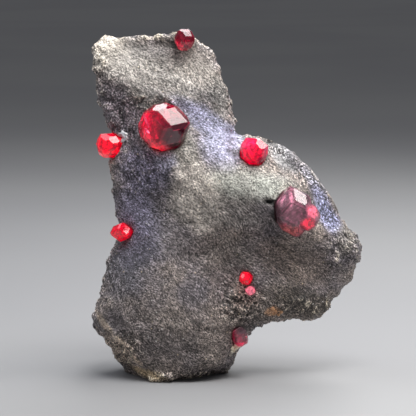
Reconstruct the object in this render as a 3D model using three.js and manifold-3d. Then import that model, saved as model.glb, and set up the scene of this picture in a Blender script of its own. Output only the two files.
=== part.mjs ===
// Garnet in matrix: nine red garnet crystals, or groups of crystals grown together, in a
// thick slab of dark mica schist that stands upright on its broken lower edge.
//
// Millimetres, +Z up. The crystal side faces -Y, +X is to the right seen from that side, and
// the origin is under the middle of the object, on the plane that it stands on.

import * as THREE from "three";
import { ImprovedNoise } from "three/addons/math/ImprovedNoise.js";
import { mergeVertices } from "three/addons/utils/BufferGeometryUtils.js";
import Module from "manifold-3d";

const wasm = await Module();
wasm.setup();

// ---------------------------------------------------------------- driving dimensions

const HEART = { x: -10.5, z: 47 }; // every point of the outline is in sight of this one
const SLAB_DETAIL = 16; // subdivisions of the icosahedron that the slab is shaped from
const RIM_FULLNESS = 3.3; // 2 is a round rim, more is a squarer one
const OUTLINE_STEPS = 720;

const HALF_THICKNESS = { body: 9.8, foot: 7.6, footHeight: 30, lobeThinning: 3.6 };
const GRAIN = [
  // lumps of the broken rock: wavelength and height
  { wave: 11, height: 0.9 },
  { wave: 4.5, height: 0.45 },
];

const SOCKET_GAP = 0.3; // clearance between a crystal and the rock that holds it
const FACE_JITTER = 0.045; // how far a crystal's faces stray from equal distances
const DODECAHEDRON_EDGE = 2 / Math.sqrt(3); // a {211} face at this distance only grazes the edges

// The slab's outline seen from the crystal side, as x and z, clockwise from its top left corner.
// The lower edge runs on below the plane that the slab stands on, which cuts it off.
const OUTLINE = [
  [-38.8, 94.0],
  [-38.4, 96.4],
  [-36.4, 98.4],
  [-32.0, 98.9],
  [-26.0, 99.1],
  [-20.3, 99.7],
  [-15.5, 99.9],
  [-11.0, 99.4],
  [-7.8, 96.9],
  [-4.6, 93.8],
  [-2.6, 89.6],
  [-1.0, 84.6],
  [0.6, 79.6],
  [1.4, 75.2],
  [2.2, 71.8],
  [4.6, 70.7],
  [9.6, 70.2],
  [16.0, 67.8],
  [20.6, 64.4],
  [24.4, 60.6],
  [27.4, 56.2],
  [30.4, 51.2],
  [33.6, 44.9],
  [36.9, 42.1],
  [38.7, 39.4],
  [39.0, 36.8],
  [37.0, 34.2],
  [36.4, 30.8],
  [35.8, 27.8],
  [32.6, 25.4],
  [30.0, 22.6],
  [27.8, 18.8],
  [24.4, 17.4],
  [19.0, 18.0],
  [12.6, 16.7],
  [8.0, 15.4],
  [6.0, 12.8],
  [3.2, 9.8],
  [1.4, 6.6],
  [-0.4, 3.4],
  [-3.0, -1.6],
  [-8.0, -5.6],
  [-16.0, -6.6],
  [-23.0, -5.2],
  [-27.4, -0.6],
  [-30.0, 3.4],
  [-32.0, 7.0],
  [-35.2, 10.8],
  [-37.2, 14.4],
  [-38.9, 17.4],
  [-38.9, 19.4],
  [-37.2, 22.4],
  [-36.0, 27.0],
  [-34.7, 32.0],
  [-34.0, 35.6],
  [-32.4, 38.8],
  [-31.0, 42.0],
  [-31.4, 46.4],
  [-32.2, 51.0],
  [-32.6, 56.4],
  [-33.4, 61.0],
  [-33.6, 65.0],
  [-32.6, 69.0],
  [-33.4, 73.0],
  [-34.6, 77.0],
  [-36.6, 81.2],
  [-37.5, 86.0],
  [-38.2, 90.4],
];

// Ridges and hollows of the crystal side. Each runs from one point to another with a soft
// cross-section, and stands proud of the slab by its height, or is sunk by it if negative.
const FRONT_RELIEF = [
  { name: "slope of the top plate", from: [-34, 106], to: [-4, 104], width: 23, height: -9.5 },
  { name: "crest under the top plate", from: [-35, 89], to: [-22, 79], width: 6.5, height: 3.4 },
  { name: "hollow left of the neck", from: [-33, 82], to: [-28, 72], width: 6, height: -3.2 },
  { name: "shelf below the top plate", from: [-20, 79], to: [-4, 76], width: 5, height: -1.2 },
  { name: "shoulder", from: [-16, 66], to: [14, 53], width: 8.5, height: 4.6 },
  { name: "shoulder's right end", from: [16, 51], to: [31, 38], width: 6, height: 3.6 },
  { name: "groove inside the right rim", from: [12, 67.5], to: [21.5, 59.5], width: 2.4, height: -1.7 },
  { name: "middle ridge", from: [-8, 58], to: [-2, 44], width: 4.5, height: 1.5 },
  { name: "valley between the lobes", from: [0, 42], to: [3, 14], width: 5, height: -2.6 },
  { name: "hollow under the shoulder", from: [12, 37], to: [28, 33], width: 7, height: -2.4 },
  { name: "swell of the right lobe", from: [17, 34], to: [24, 23], width: 4, height: 1.0 },
  { name: "swell of the foot", from: [-22, 32], to: [-14, 16], width: 11, height: 2.6 },
  { name: "hollow of the left side", from: [-31, 56], to: [-27, 40], width: 6, height: -1.6 },
  { name: "collar of the large crystal", from: [-13, 81], to: [-10.4, 70], width: 2.4, height: 1.7 },
  { name: "swell over the right pair", from: [13, 58], to: [22, 56], width: 2.6, height: 1.0 },
];

// The same for the far side.
const BACK_RELIEF = [
  { name: "swell behind the left side", from: [-27, 20], to: [-25, 78], width: 12, height: 5.4 },
  { name: "thinning of the right lobe", from: [14, 58], to: [30, 32], width: 15, height: -6.2 },
];

// Where the slab was broken across: everything beyond each plane is gone. A plane is given
// by a point on it and the direction that it faces.
const BREAKS = [
  { name: "lower left bevel", at: [-35.5, -1, 10.5], facing: [-0.7, -0.42, -0.58] },
  { name: "undercut of the foot", at: [-19.4, -12.6, 1.4], facing: [0.27, -0.36, -0.893] },
  { name: "upper left wall", at: [-38.2, -2, 86], facing: [-0.9, -0.42, 0.1] },
  { name: "back of the top", at: [-20, 9.5, 92], facing: [0.05, 0.86, 0.5] },
  { name: "back of the neck", at: [-30, 11.3, 62], facing: [-0.3, 0.95, 0.08] },
];
const FOOT_PLANE_Z = 1.4;

const ROCK = new THREE.MeshStandardMaterial({ color: 0x57534f, roughness: 0.7, metalness: 0.1 });
const GARNET_RED = new THREE.MeshStandardMaterial({ color: 0xb3082c, roughness: 0.08, metalness: 0 });
const GARNET_DARK = new THREE.MeshStandardMaterial({ color: 0x5e0a20, roughness: 0.08, metalness: 0 });

// Crystals. size is the distance across opposite {110} faces; bevel runs from 0, a plain
// rhombic dodecahedron, to 1, a plain trapezohedron; axis is the crystal direction that
// faces the front, and spin turns the crystal about it; lift is how far its centre stands
// out of the rock, as a share of its size; reach is its length along X, Y and Z.
const CRYSTALS = [
  {
    name: "top_garnet",
    material: GARNET_DARK,
    grown: [
      { x: -12.4, z: 98.6, size: 5.7, bevel: 0.45, axis: [1, 1, 1], spin: 75, lift: 0.16,
        reach: [1, 1, 1.08], seed: 11, lean: 2.2 },
    ],
  },
  {
    name: "large_garnet",
    material: GARNET_RED,
    grown: [
      { x: -18.2, z: 74.2, size: 12.9, bevel: 0.42, axis: [1, 0.6, 1], spin: -35, lift: 0.12,
        reach: [1, 1, 1], seed: 21, lean: 0 },
    ],
  },
  {
    name: "left_edge_garnet",
    material: GARNET_RED,
    grown: [
      { x: -33.9, z: 68.2, size: 7.3, bevel: 0.6, axis: [2, 1, 0.4], spin: 20, lift: 0.0,
        reach: [1.03, 1, 0.98], seed: 31, lean: 3.4 },
    ],
  },
  {
    name: "left_lower_garnet",
    material: GARNET_RED,
    grown: [
      { x: -30.4, z: 43.8, size: 5.1, bevel: 0.35, axis: [1, 0.2, 0.5], spin: 60, lift: 0.05,
        reach: [1.12, 1, 0.9], seed: 41, lean: 2.0 },
    ],
  },
  {
    name: "right_upper_garnet",
    material: GARNET_RED,
    grown: [
      { x: 7.4, z: 67.1, size: 7.9, bevel: 0.7, axis: [1, 0.3, 0.2], spin: 12, lift: 0.16,
        reach: [1, 1, 1], seed: 51, lean: 0 },
    ],
  },
  {
    name: "right_garnet_pair",
    material: GARNET_DARK,
    grown: [
      { x: 18.6, z: 50.8, size: 11.2, bevel: 0.38, axis: [1, 1, 0.1], spin: 0, lift: 0.16,
        reach: [0.92, 1, 1.08], seed: 61, lean: 0 },
      { x: 22.2, z: 49.6, size: 6.8, bevel: 0.5, axis: [1, 1, 0.3], spin: 60, lift: 1.14,
        reach: [0.98, 1, 1.14], seed: 62, lean: 0 },
    ],
  },
  {
    name: "small_upper_garnet",
    material: GARNET_RED,
    grown: [
      { x: 5.1, z: 31.0, size: 3.6, bevel: 0.6, axis: [1, 0.4, 0.1], spin: 15, lift: 0.2,
        reach: [1, 1, 1], seed: 71, lean: 0 },
    ],
  },
  {
    name: "small_lower_garnet",
    material: GARNET_RED,
    grown: [
      { x: 6.4, z: 27.5, size: 2.5, bevel: 0.5, axis: [1, 1, 0.4], spin: 40, lift: 0.22,
        reach: [1, 1, 1], seed: 81, lean: 0 },
    ],
  },
  {
    name: "bottom_edge_garnet",
    material: GARNET_DARK,
    grown: [
      { x: 3.5, z: 14.0, size: 4.9, bevel: 0.5, axis: [1, 0.6, 0.3], spin: 30, lift: 0.02,
        reach: [0.9, 1, 1.1], seed: 91, lean: 1.4 },
    ],
  },
];

// ---------------------------------------------------------------- closed meshes and solids

function solidFrom(geometry) {
  const bare = (geometry.index ? geometry.toNonIndexed() : geometry.clone())
    .deleteAttribute("normal")
    .deleteAttribute("uv");
  const merged = mergeVertices(bare, 1e-4);
  return new wasm.Manifold(
    new wasm.Mesh({
      numProp: 3,
      vertProperties: merged.attributes.position.array,
      triVerts: new Uint32Array(merged.index.array),
    }),
  );
}

function geometryFrom(solid) {
  const { vertProperties, triVerts } = solid.getMesh();
  const geometry = new THREE.BufferGeometry();
  geometry.setAttribute("position", new THREE.BufferAttribute(vertProperties, 3));
  geometry.setIndex(new THREE.BufferAttribute(triVerts, 1));
  const flat = geometry.toNonIndexed();
  flat.computeVertexNormals();
  return flat;
}

function largestBody(solid) {
  return solid.decompose().reduce((a, b) => (b.volume() > a.volume() ? b : a));
}

// ---------------------------------------------------------------- the slab of rock

// Distance from the heart to the outline, by angle.
function outlineReach() {
  const corners = OUTLINE.map(([x, z]) => new THREE.Vector3(x - HEART.x, 0, z - HEART.z));
  const curve = new THREE.CatmullRomCurve3(corners, true, "centripetal");
  const turns = curve
    .getSpacedPoints(OUTLINE_STEPS)
    .map((p) => ({ angle: Math.atan2(p.z, p.x), reach: Math.hypot(p.x, p.z) }))
    .sort((a, b) => a.angle - b.angle);
  return (angle) => {
    let high = turns.findIndex((t) => t.angle > angle);
    if (high < 0) high = 0;
    const after = turns[high];
    const before = turns[(high + turns.length - 1) % turns.length];
    const span = THREE.MathUtils.euclideanModulo(after.angle - before.angle, 2 * Math.PI);
    const along = THREE.MathUtils.euclideanModulo(angle - before.angle, 2 * Math.PI);
    return THREE.MathUtils.lerp(before.reach, after.reach, span > 0 ? along / span : 0);
  };
}

const reachAt = outlineReach();
const noise = new ImprovedNoise();

function softRidge(x, z, { from, to, width, height }) {
  const run = new THREE.Vector2(to[0] - from[0], to[1] - from[1]);
  const here = new THREE.Vector2(x - from[0], z - from[1]);
  const share = THREE.MathUtils.clamp(here.dot(run) / run.lengthSq(), 0, 1);
  const away = here.sub(run.multiplyScalar(share)).length();
  return height * Math.exp(-((away / width) ** 2));
}

function halfThickness(x, z) {
  const foot = HALF_THICKNESS.foot * Math.exp(-((Math.max(z, 0) / HALF_THICKNESS.footHeight) ** 2));
  const lobe = HALF_THICKNESS.lobeThinning * THREE.MathUtils.smoothstep(x, 5, 35);
  return HALF_THICKNESS.body + foot - lobe;
}

// The slab leans: its top and its right lobe stand a little further back.
function middleDepth(x, z) {
  const top = 2.5 * THREE.MathUtils.smoothstep(z, 55, 100);
  const lobe = 1.5 * THREE.MathUtils.smoothstep(x, 10, 38);
  return top + lobe;
}

function reliefOf(ridges, x, z) {
  return ridges.reduce((sum, ridge) => sum + softRidge(x, z, ridge), 0);
}

// The crystal side's depth at x and z. fullness falls from 1 inside the slab to 0 at its rim.
function frontDepth(x, z, fullness) {
  const proud = halfThickness(x, z) * fullness + reliefOf(FRONT_RELIEF, x, z) * fullness ** 1.5;
  return middleDepth(x, z) - proud;
}

function backDepth(x, z, fullness) {
  const proud = halfThickness(x, z) * fullness + reliefOf(BACK_RELIEF, x, z) * fullness ** 1.5;
  return middleDepth(x, z) + proud;
}

// How full the slab is at x and z: 1 at its heart, 0 at the outline and beyond it.
function fullnessAt(x, z) {
  const share = Math.hypot(x - HEART.x, z - HEART.z) / reachAt(Math.atan2(z - HEART.z, x - HEART.x));
  return share >= 1 ? 0 : (1 - share ** RIM_FULLNESS) ** (1 / RIM_FULLNESS);
}

function roughenedSlab() {
  const geometry = new THREE.IcosahedronGeometry(1, SLAB_DETAIL);
  const place = geometry.attributes.position;
  const point = new THREE.Vector3();
  for (let i = 0; i < place.count; i++) {
    point.fromBufferAttribute(place, i).normalize();
    const flat = Math.hypot(point.x, point.z);
    const angle = Math.atan2(point.z, point.x);
    const share = flat ** (2 / RIM_FULLNESS);
    const fullness = Math.abs(point.y) ** (2 / RIM_FULLNESS);
    const x = HEART.x + reachAt(angle) * share * Math.cos(angle);
    const z = HEART.z + reachAt(angle) * share * Math.sin(angle);
    const y = point.y < 0 ? frontDepth(x, z, fullness) : backDepth(x, z, fullness);
    const outward = new THREE.Vector3(share ** 4 * Math.cos(angle), Math.sign(point.y) * fullness,
      share ** 4 * Math.sin(angle));
    const lump = GRAIN.reduce(
      (sum, { wave, height }) => sum + height * noise.noise(x / wave + 9.7, y / wave, z / wave), 0);
    point.set(x, y, z).addScaledVector(outward, lump);
    place.setXYZ(i, point.x, point.y, point.z);
  }
  return geometry;
}

function brokenSlab() {
  let slab = solidFrom(roughenedSlab());
  for (const { at, facing } of BREAKS) {
    const outward = new THREE.Vector3(...facing).normalize();
    const distance = outward.dot(new THREE.Vector3(...at));
    slab = slab.trimByPlane(outward.clone().negate().toArray(), -distance);
  }
  return slab.trimByPlane([0, 0, 1], FOOT_PLANE_Z);
}

// ---------------------------------------------------------------- the crystals

// The directions of every face of the form {h k l}: all signs and orders of the three numbers.
function formDirections(h, k, l) {
  const found = new Map();
  for (const [a, b, c] of [[h, k, l], [h, l, k], [k, h, l], [k, l, h], [l, h, k], [l, k, h]])
    for (const sx of [1, -1])
      for (const sy of [1, -1])
        for (const sz of [1, -1]) {
          const d = [a * sx, b * sy, c * sz].map((v) => v + 0);
          found.set(d.join(), new THREE.Vector3(...d).normalize());
        }
  return [...found.values()];
}

// A garnet: the faces of a rhombic dodecahedron with a trapezohedron's faces on its edges.
// grown thickens it evenly, for the socket that holds it.
function garnetSolid({ size, bevel, seed }, grown = 0) {
  const plain = THREE.MathUtils.lerp(DODECAHEDRON_EDGE, 1 / DODECAHEDRON_EDGE, bevel);
  const faces = [
    ...formDirections(1, 1, 0).map((direction) => ({ direction, distance: size / 2 })),
    ...formDirections(2, 1, 1).map((direction) => ({ direction, distance: (size / 2) * plain })),
  ];
  const start = new THREE.BoxGeometry(size * 3, size * 3, size * 3);
  return faces.reduce((solid, { direction, distance }, i) => {
    const stray = 1 + FACE_JITTER * (2 * THREE.MathUtils.seededRandom(seed * 100 + i) - 1);
    return solid.trimByPlane(direction.clone().negate().toArray(), -(distance * stray + grown));
  }, solidFrom(start));
}

function placeOf({ x, z, size, axis, spin, lift, reach, lean }) {
  const surface = frontDepth(x, z, fullnessAt(x, z));
  const towardsFront = new THREE.Quaternion().setFromUnitVectors(
    new THREE.Vector3(...axis).normalize(), new THREE.Vector3(0, -1, 0));
  const turned = new THREE.Quaternion()
    .setFromAxisAngle(new THREE.Vector3(0, -1, 0), THREE.MathUtils.degToRad(spin))
    .multiply(towardsFront);
  return new THREE.Matrix4()
    .makeTranslation(x, surface - size * lift - lean, z)
    .scale(new THREE.Vector3(...reach))
    .multiply(new THREE.Matrix4().makeRotationFromQuaternion(turned));
}

// All that grew together at one place, as one solid, in the slab's own frame.
function grownTogether(grown, thickened = 0) {
  return grown
    .map((crystal) => solidFrom(
      geometryFrom(garnetSolid(crystal, thickened)).applyMatrix4(placeOf(crystal))))
    .reduce((all, crystal) => all.add(crystal));
}

// A crystal's mesh keeps its own centre as its origin, and its position puts it in the slab.
function crystalMesh({ name, material, grown }) {
  const centre = new THREE.Vector3().setFromMatrixPosition(placeOf(grown[0]));
  const geometry = geometryFrom(grownTogether(grown)).translate(...centre.clone().negate().toArray());
  const mesh = new THREE.Mesh(geometry, material);
  mesh.name = name;
  mesh.position.copy(centre);
  return mesh;
}

function matrixMesh() {
  const sockets = CRYSTALS.map(({ grown }) => grownTogether(grown, SOCKET_GAP));
  const rock = sockets.reduce((slab, socket) => slab.subtract(socket), brokenSlab());
  const mesh = new THREE.Mesh(geometryFrom(largestBody(rock)), ROCK);
  mesh.name = "schist_matrix";
  return mesh;
}

// ---------------------------------------------------------------- the whole specimen

const slabFrame = new THREE.Group();
slabFrame.add(matrixMesh(), ...CRYSTALS.map(crystalMesh));

const extent = new THREE.Box3().setFromObject(slabFrame);
const middle = extent.getCenter(new THREE.Vector3());
slabFrame.position.set(-middle.x, -middle.y, -extent.min.z);

const specimen = new THREE.Group();
specimen.add(slabFrame);

export default specimen;
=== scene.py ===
"""Garnet in matrix: a slab of mica schist with red garnets, under soft studio light.

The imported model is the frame. The slab gets a finer, rougher surface over its plain solid, with
mica flakes and small quartz and feldspar grains. The garnets keep their own faceted solids, and
become clear crystal with cracks and veils sealed in them.
"""

import bisect
import functools
import itertools
import logging
import math
import random
from dataclasses import dataclass, field
from enum import Enum
from typing import Any, Callable, Iterator

import bmesh
import bpy
import numpy as np
from mathutils import Matrix, Quaternion, Vector, noise
from mathutils.bvhtree import BVHTree


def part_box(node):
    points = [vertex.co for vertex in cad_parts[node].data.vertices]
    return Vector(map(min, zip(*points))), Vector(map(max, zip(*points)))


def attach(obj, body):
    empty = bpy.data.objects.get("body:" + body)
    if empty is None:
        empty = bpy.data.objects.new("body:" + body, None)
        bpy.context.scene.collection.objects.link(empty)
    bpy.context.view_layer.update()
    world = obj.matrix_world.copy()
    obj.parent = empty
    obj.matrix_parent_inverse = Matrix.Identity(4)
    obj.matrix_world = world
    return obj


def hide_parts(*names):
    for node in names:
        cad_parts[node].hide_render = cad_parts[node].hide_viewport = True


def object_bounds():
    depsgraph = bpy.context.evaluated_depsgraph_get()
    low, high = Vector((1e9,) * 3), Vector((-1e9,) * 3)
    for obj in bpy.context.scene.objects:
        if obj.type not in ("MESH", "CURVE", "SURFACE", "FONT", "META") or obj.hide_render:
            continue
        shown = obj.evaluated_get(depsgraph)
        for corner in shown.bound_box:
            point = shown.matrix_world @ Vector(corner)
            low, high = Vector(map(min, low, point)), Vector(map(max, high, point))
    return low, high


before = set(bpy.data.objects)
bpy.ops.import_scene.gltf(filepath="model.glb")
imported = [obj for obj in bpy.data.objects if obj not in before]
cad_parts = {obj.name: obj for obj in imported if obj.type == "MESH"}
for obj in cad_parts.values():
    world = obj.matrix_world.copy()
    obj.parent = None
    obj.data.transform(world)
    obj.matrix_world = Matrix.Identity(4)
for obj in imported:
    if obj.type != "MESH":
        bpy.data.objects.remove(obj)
CAD_LOW, CAD_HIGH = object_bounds()

LOG = logging.getLogger("garnet_in_matrix")
NOISE_SEED = 3  # the stone's lumps are the same each time
MM = 0.001
WELD = 0.001 * MM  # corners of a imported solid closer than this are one
BODY = "root"
MATRIX_NODE = "schist_matrix"
STREAK_TURN = math.radians(-42)  # how the stone's streaks slope, seen from the front

Colour = tuple[float, float, float]


def paint(red: int, green: int, blue: int) -> Colour:
    """Gives the linear colour of an ordinary 0 to 255 one, by the sRGB curve."""
    return tuple((c / 255 / 12.92) if c < 11 else ((c / 255 + 0.055) / 1.055) ** 2.4
                 for c in (red, green, blue))


@functools.cache
def spot(across: float, up: float, depth: float = 0.0) -> Vector:
    """Gives the point at shares of the width from the left, the height and the depth from the front."""
    size = CAD_HIGH - CAD_LOW
    return CAD_LOW + Vector((across * size.x, depth * size.y, up * size.z))


# ------------------------------------------------------------------ shader maths


@dataclass(frozen=True)
class Value:
    """A number that varies over a surface: a socket that can be used in sums."""

    finish: "Finish"
    socket: bpy.types.NodeSocket

    def __add__(self, other: "Value | float") -> "Value":
        """Adds."""
        return self.finish.maths("ADD", self, other)

    def __radd__(self, other: float) -> "Value":
        """Adds, the other way round."""
        return self.finish.maths("ADD", other, self)

    def __sub__(self, other: "Value | float") -> "Value":
        """Takes away."""
        return self.finish.maths("SUBTRACT", self, other)

    def __rsub__(self, other: float) -> "Value":
        """Takes away, the other way round."""
        return self.finish.maths("SUBTRACT", other, self)

    def __mul__(self, other: "Value | float") -> "Value":
        """Multiplies."""
        return self.finish.maths("MULTIPLY", self, other)

    def __pow__(self, other: "Value | float") -> "Value":
        """Raises to a power."""
        return self.finish.maths("POWER", self, other)


class Finish:
    """A procedural material in the making."""

    def __init__(self, name: str) -> None:
        """Starts an empty material.

        Args:
            name: The material's name.
        """
        self.material = bpy.data.materials.new(name)
        self.material.use_nodes = True
        self.tree = self.material.node_tree
        self.tree.nodes.clear()
        self.output = self.node("ShaderNodeOutputMaterial")

    def node(self, kind: str, settings: dict[str, Any] | None = None,
             sockets: dict[str | int, Any] | None = None) -> bpy.types.Node:
        """Adds a node.

        Args:
            kind: The node's type.
            settings: Its settings, set first.
            sockets: A value, a Value or a socket to link from, by input name or index.

        Returns:
            The node.
        """
        made = self.tree.nodes.new(kind)
        for name, setting in (settings or {}).items():
            setattr(made, name, setting)
        for name, given in (sockets or {}).items():
            source = given.socket if isinstance(given, Value) else given
            if isinstance(source, bpy.types.NodeSocket):
                self.tree.links.new(source, made.inputs[name])
            else:
                made.inputs[name].default_value = source
        return made

    def maths(self, operation: str, *terms: "Value | float") -> Value:
        """Adds a Math node and gives its result."""
        made = self.node("ShaderNodeMath", {"operation": operation}, dict(enumerate(terms)))
        return Value(self, made.outputs[0])

    def place(self) -> bpy.types.NodeSocket:
        """Gives the object's own coordinates, in metres."""
        return self.node("ShaderNodeTexCoord").outputs["Object"]

    def vector(self, operation: str, first: Any, second: Any) -> bpy.types.NodeSocket:
        """Adds a Vector Math node on two vectors and gives its vector."""
        made = self.node("ShaderNodeVectorMath", {"operation": operation}, {0: first, 1: second})
        return made.outputs["Vector"]

    def mapped(self, place: bpy.types.NodeSocket, turn: Vector, scale: Vector) -> bpy.types.NodeSocket:
        """Turns coordinates by angles in radians about X, Y and Z, then scales them."""
        turned = self.node("ShaderNodeMapping", {}, {"Vector": place, "Rotation": turn})
        return self.node("ShaderNodeMapping", {}, {"Vector": turned.outputs[0], "Scale": scale}).outputs[0]

    def grain(self, place: bpy.types.NodeSocket, size: float, detail: float = 2.0,
              rough: float = 0.5) -> Value:
        """Adds soft noise around 0.5, with its wavelength in metres and some finer layers."""
        made = self.node("ShaderNodeTexNoise", {}, {
            "Vector": place, "Scale": 1 / size, "Detail": detail, "Roughness": rough})
        return Value(self, made.outputs["Fac"])

    def wander(self, place: bpy.types.NodeSocket, size: float, reach: float) -> bpy.types.NodeSocket:
        """Bends coordinates softly.

        Args:
            place: The coordinates.
            size: The wavelength of the bends, in metres.
            reach: How far a point may wander, in metres.

        Returns:
            The bent coordinates.
        """
        field_of = self.node("ShaderNodeTexNoise", {}, {"Vector": place, "Scale": 1 / size, "Detail": 1.0})
        centred = self.vector("SUBTRACT", field_of.outputs["Color"], (0.5, 0.5, 0.5))
        return self.vector("ADD", place, self.vector("MULTIPLY", centred, (2 * reach,) * 3))

    def cells(self, place: bpy.types.NodeSocket, size: float) -> tuple[Value, Value]:
        """Adds grains with a random tone each.

        Args:
            place: The coordinates.
            size: The width of a grain, in metres.

        Returns:
            The grain's random tone, 0 to 1, and the distance from its middle in grain widths.
        """
        made = self.node("ShaderNodeTexVoronoi", {}, {"Vector": place, "Scale": 1 / size})
        parts = self.node("ShaderNodeSeparateColor", {}, {"Color": made.outputs["Color"]})
        return Value(self, parts.outputs[0]), Value(self, made.outputs["Distance"])

    def span(self, value: Value, low: float, high: float, bottom: float = 0.0,
             top: float = 1.0) -> Value:
        """Maps low to high softly onto bottom to top, clamped."""
        made = self.node("ShaderNodeMapRange", {"interpolation_type": "SMOOTHSTEP"}, {
            "Value": value, "From Min": low, "From Max": high, "To Min": bottom, "To Max": top})
        return Value(self, made.outputs["Result"])

    def blend(self, share: "Value | float", first: Any, second: Any) -> bpy.types.NodeSocket:
        """Mixes two colours or colour sockets, with a share of 0 to 1 of the second."""
        first, second = ((*c, 1.0) if isinstance(c, tuple) else c for c in (first, second))
        return self.node("ShaderNodeMix", {"data_type": "RGBA"}, {0: share, 6: first, 7: second}).outputs[2]

    def brighten(self, colour: Any, factor: Value) -> bpy.types.NodeSocket:
        """Multiplies a colour by a varying number, which may pass 1."""
        grey = self.node("ShaderNodeCombineColor", {}, {0: factor, 1: factor, 2: factor})
        return self.vector("MULTIPLY", colour, grey.outputs[0])

    def bump(self, height: Value, distance: float, strength: float = 1.0) -> bpy.types.NodeSocket:
        """Adds a Bump node for a height pattern of 0 to 1, where 1 is the distance in metres."""
        return self.node("ShaderNodeBump", {}, {
            "Height": height, "Distance": distance, "Strength": strength}).outputs["Normal"]

    def surface(self, **sockets: Any) -> None:
        """Adds the Principled shader and joins it to the output.

        Args:
            **sockets: Its sockets, with an underscore for each space of the name.
        """
        named = {}
        for name, given in sockets.items():
            is_colour = isinstance(given, tuple) and len(given) == 3
            named[name.replace("_", " ")] = (*given, 1.0) if is_colour else given
        made = self.node("ShaderNodeBsdfPrincipled", {}, named)
        self.tree.links.new(made.outputs["BSDF"], self.output.inputs["Surface"])


# ------------------------------------------------------------------ the rock's colours


@dataclass(frozen=True)
class Patch:
    """A soft-edged area of another colour on the front of the rock: some are tones of its own, others
    painted light and painted shade.
    """

    across: float
    up: float
    wide: float  # half its width, in millimetres
    tall: float  # half its height, in millimetres
    turn: float  # degrees, anticlockwise from the front
    colour: tuple[int, int, int]  # 0 to 255
    strength: float
    depth: float = 0.3  # share of the depth, from the front


PATCHES = tuple(Patch(*row) for row in (
    (0.05, 0.955, 9, 7, 0, (220, 208, 192), 0.75),  # cream corner of the top plate: cream tone under a painted highlight
    (0.20, 0.89, 24, 8, -16, (172, 166, 158), 0.75),  # pale top plate: painted light on a paler tone
    (0.38, 0.89, 9, 6, -30, (180, 172, 163), 0.75),  # painted light on its right end
    (0.27, 0.84, 16, 2.4, -22, (100, 95, 90), 0.7),  # painted shade along its foot
    (0.47, 0.81, 3.2, 8, 8, (96, 94, 90), 0.7),  # painted shade on the right edge of the top plate
    (0.09, 0.77, 8, 13, 28, (92, 84, 90), 0.85),  # painted shade on the wall left of the crest
    (0.22, 0.795, 11, 3.6, -26, (72, 68, 64), 0.85),  # painted shade under the top plate
    (0.42, 0.745, 12, 3.8, -33, (118, 118, 142), 0.8),  # lavender slope: painted sheen
    (0.49, 0.675, 7, 7.5, 20, (160, 160, 184), 0.85),  # painted sheen, brightest at its lower end
    (0.34, 0.66, 4.6, 9, 32, (142, 138, 130), 0.7),  # strip beside the large crystal
    (0.82, 0.575, 7, 2.2, -54, (128, 128, 140), 0.7),  # painted shade at the bluish end of the groove
    (0.35, 0.60, 6, 3.6, 20, (178, 170, 164), 0.75),  # pale patch below the large crystal
    (0.56, 0.565, 15, 6.0, -6, (169, 169, 160), 0.8),  # greenish shoulder: painted light on a greenish tone
    (0.66, 0.565, 7, 3.6, -18, (140, 143, 134), 0.6),  # painted shade on its right end
    (0.70, 0.64, 9, 3.0, -42, (140, 140, 142), 0.75),  # grey slope behind it
    (0.57, 0.648, 6, 1.6, -10, (60, 56, 56), 0.8, 0.4),  # painted shadow in the dimple under the upper right crystal
    (0.39, 0.53, 8, 12, 14, (196, 186, 176), 0.85),  # painted light on the middle ridge
    (0.50, 0.485, 14, 5, -10, (132, 126, 120), 0.6),  # painted shade at its right foot
    (0.20, 0.61, 10, 8, 20, (98, 94, 114), 0.7),  # painted shade on the violet left side
    (0.16, 0.47, 8, 10, 0, (112, 108, 128), 0.7),  # painted shade on its lower part
    (0.11, 0.30, 7, 9, 12, (92, 90, 96), 0.6),  # painted shade on the bluish flank
    (0.873, 0.468, 2.8, 11, 28, (120, 122, 150), 0.9),  # lavender band of the right rim: painted sheen
    (0.93, 0.40, 4.0, 5, 20, (104, 98, 90), 0.8),  # coarse tip of the lobe
    (0.74, 0.33, 15, 7, -20, (106, 94, 86), 0.7),  # brown hollow of the lobe: brown tone and painted shade
    (0.80, 0.22, 14, 5, -12, (58, 52, 46), 0.85),  # painted shade along the lower edge of the lobe
    (0.52, 0.35, 9, 7, 0, (82, 76, 74), 0.6),  # painted shade round the small crystals
    (0.30, 0.13, 22, 12, 0, (92, 84, 80), 0.7),  # brownish foot
    (0.167, 0.37, 8, 5, 10, (70, 68, 80), 0.7),  # painted shade on the blue side above it
    (0.36, 0.39, 8, 5, 0, (78, 71, 71), 0.75),  # dim middle
    (0.565, 0.24, 5, 4, 0, (146, 128, 118), 0.75),  # paler stone between the pits
    (0.27, 0.63, 5, 3, 10, (150, 148, 164), 0.7),  # bluish seat of the large crystal
    (0.665, 0.198, 2.4, 1.7, 12, (196, 152, 116), 0.85),  # tan quartz on the lower rim
    (0.085, 0.085, 9, 5, -40, (158, 142, 128), 0.75),  # brown lower left break
    (0.045, 0.165, 4.4, 1.3, -52, (206, 186, 166), 0.7),  # painted highlight on the lip of the lower left break
    (0.105, 0.118, 3.0, 0.9, -30, (220, 198, 178), 0.65),  # painted highlight on its middle
    (0.170, 0.062, 2.6, 0.9, -44, (206, 182, 160), 0.6),  # painted highlight on its lower end
    (0.21, 0.02, 6, 1.9, -10, (206, 182, 146), 0.75),  # golden grains at its foot
    (0.533, 0.091, 3.0, 1.1, 52, (240, 230, 212), 0.9),  # feldspar under the bottom crystal
    (0.745, 0.63, 7, 1.7, -46, (104, 101, 106), 0.75, 0.45),  # painted shade in the groove by the rim
    (0.30, 0.955, 5.0, 1.8, -10, (50, 47, 44), 0.8, 0.5),  # painted shadow in the hollow beside the top crystal
    (0.659, 0.680, 3.6, 1.3, -44, (22, 20, 22), 0.95, 0.57),  # painted shade at the dark start of the groove
    (0.663, 0.518, 3.0, 1.0, 4, (16, 14, 14), 0.95, 0.15),  # painted shadow in the gap by the grown pair
    (0.675, 0.485, 1.1, 3.6, 8, (34, 31, 31), 0.85),  # painted shadow at its lower end
))


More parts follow.
